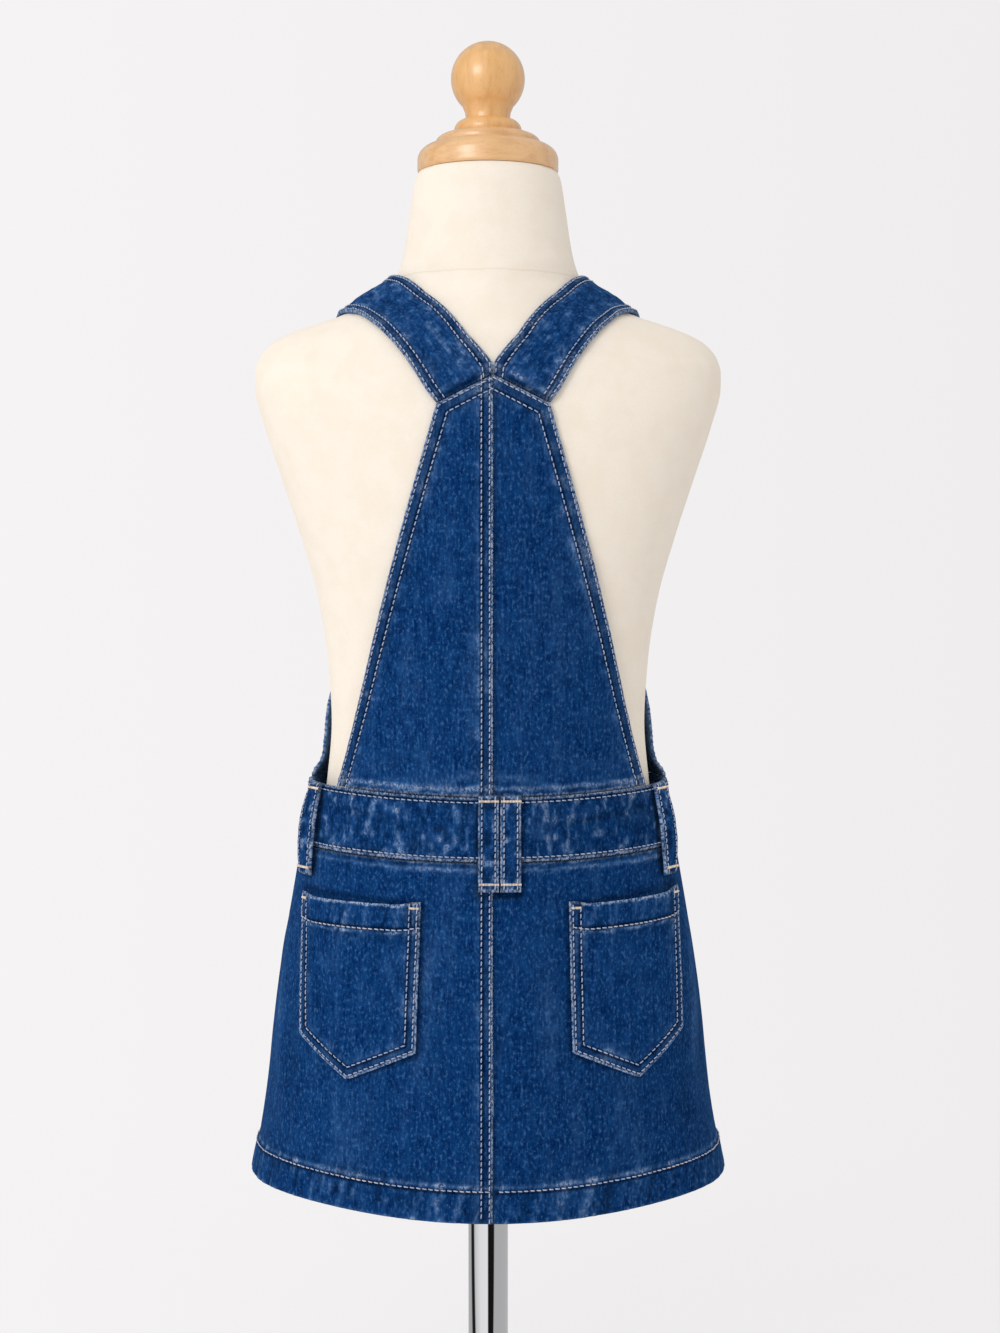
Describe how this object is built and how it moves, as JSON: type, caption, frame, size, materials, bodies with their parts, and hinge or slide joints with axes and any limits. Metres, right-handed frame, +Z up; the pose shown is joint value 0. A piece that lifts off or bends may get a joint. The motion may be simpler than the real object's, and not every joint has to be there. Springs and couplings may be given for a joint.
{
  "type": "child's denim overall dress on a limbless dress form",
  "caption": "Child's denim overall dress with straps that meet in a V at the back, belt loops and back pockets, worn by a cream limbless dress form on a pole stand.",
  "frame": {"origin": "centre of the stand's base plate, on the surface that it stands on, which is the bottom centre of the bounding box", "axes": "+Z up along the pole; -Y is the front of the dress and +Y its back; +X is the wearer's left"},
  "size_m": [0.2976, 0.236, 0.8636],
  "materials": {
    "denim": "stone-washed indigo twill with tan topstitching",
    "button_metal": "antiqued, stamped",
    "form_cover": "smooth cream cotton jersey, stretched",
    "beech": "turned beech, satin varnish",
    "chrome": "polished",
    "base_steel": "satin"
  },
  "bodies": {
    "root": {"back_bib_left": "denim", "back_bib_right": "denim", "front_bib": "denim", "strap_left": "denim", "strap_right": "denim", "waistband_back": "denim", "waistband_front": "denim", "skirt_back_left": "denim", "skirt_back_right": "denim", "skirt_front": "denim", "pocket_left": "denim", "pocket_right": "denim", "loop_back_left": "denim", "loop_back_right": "denim", "loop_side_left": "denim", "loop_side_right": "denim", "button_left": "button_metal", "button_right": "button_metal", "form_body": "form_cover", "neck_cap": "beech", "finial": "beech", "stand_pole": "chrome", "stand_base": "base_steel"}
  },
  "joints": []
}
